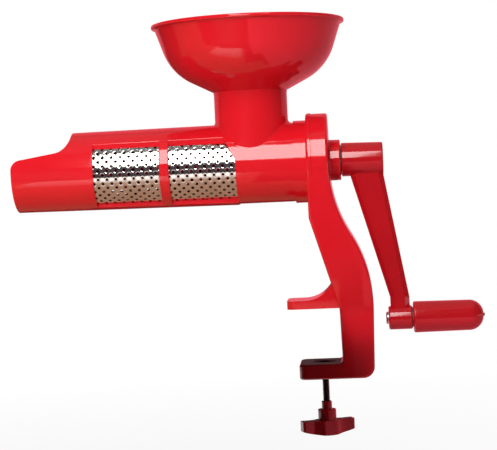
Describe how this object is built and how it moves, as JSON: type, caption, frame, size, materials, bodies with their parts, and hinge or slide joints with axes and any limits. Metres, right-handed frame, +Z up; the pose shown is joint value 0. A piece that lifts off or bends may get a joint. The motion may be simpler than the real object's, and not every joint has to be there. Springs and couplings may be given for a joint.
{
  "type": "food mill",
  "caption": "Hand-cranked food mill with feed bowl, perforated strainer barrel, open spout, turning crank grip and screw table clamp",
  "frame": {"origin": "middle of the upper jaw's underside, where it rests on the table top", "axes": "+X along the barrel towards the crank, +Y to the far side, +Z up from the table"},
  "size_m": [0.3694, 0.154, 0.3322],
  "materials": {
    "red_plastic": "moulded gloss plastic",
    "screen_steel": "polished stainless sheet",
    "shaft_steel": "turned steel",
    "dark_steel": "blackened steel",
    "bearing": "natural bearing plastic",
    "seal": "moulded rubber"
  },
  "bodies": {
    "bracket": {"clamp_bracket": "red_plastic", "barrel": "red_plastic", "strainer_screen": "screen_steel", "screen_ring": "shaft_steel", "barrel_gasket": "seal", "shaft_bush": "bearing", "shaft_seal": "seal", "thrust_washer": "bearing", "clamp_nut": "dark_steel"},
    "hopper": {"hopper_bowl": "red_plastic"},
    "crank": {"crank_arm": "red_plastic", "auger": "red_plastic", "auger_shaft": "shaft_steel", "drive_pin": "shaft_steel", "crank_washer": "shaft_steel", "crank_screw": "shaft_steel"},
    "grip": {"grip": "red_plastic", "grip_washer": "bearing", "grip_screw": "shaft_steel"},
    "pad": {"clamp_pad": "dark_steel"},
    "screw": {"clamp_screw": "dark_steel", "wing_knob": "red_plastic", "pad_retainer": "dark_steel"}
  },
  "joints": [
    {"name": "hopper_lift", "type": "slide", "parent": "bracket", "child": "hopper", "axis": [0, 0, 1], "range_m": [0, 0.02]},
    {"name": "crank_turn", "type": "hinge", "parent": "bracket", "child": "crank", "pos_m": [0, 0, 0.1168], "axis": [1, 0, 0], "continuous": true},
    {"name": "grip_spin", "type": "hinge", "parent": "crank", "child": "grip", "pos_m": [0.07, 0, -0.011], "axis": [1, 0, 0], "continuous": true},
    {"name": "clamp_feed", "type": "slide", "parent": "bracket", "child": "pad", "axis": [0, 0, 1], "range_m": [0, 0.0195]},
    {"name": "clamp_turn", "type": "hinge", "parent": "pad", "child": "screw", "pos_m": [0.007, 0, -0.06], "axis": [0, 0, 1], "range_deg": [0, 7020]}
  ],
  "couplings": [
    {"joint": "clamp_feed", "follows": "clamp_turn", "m_per_rad": 0.00015915}
  ]
}
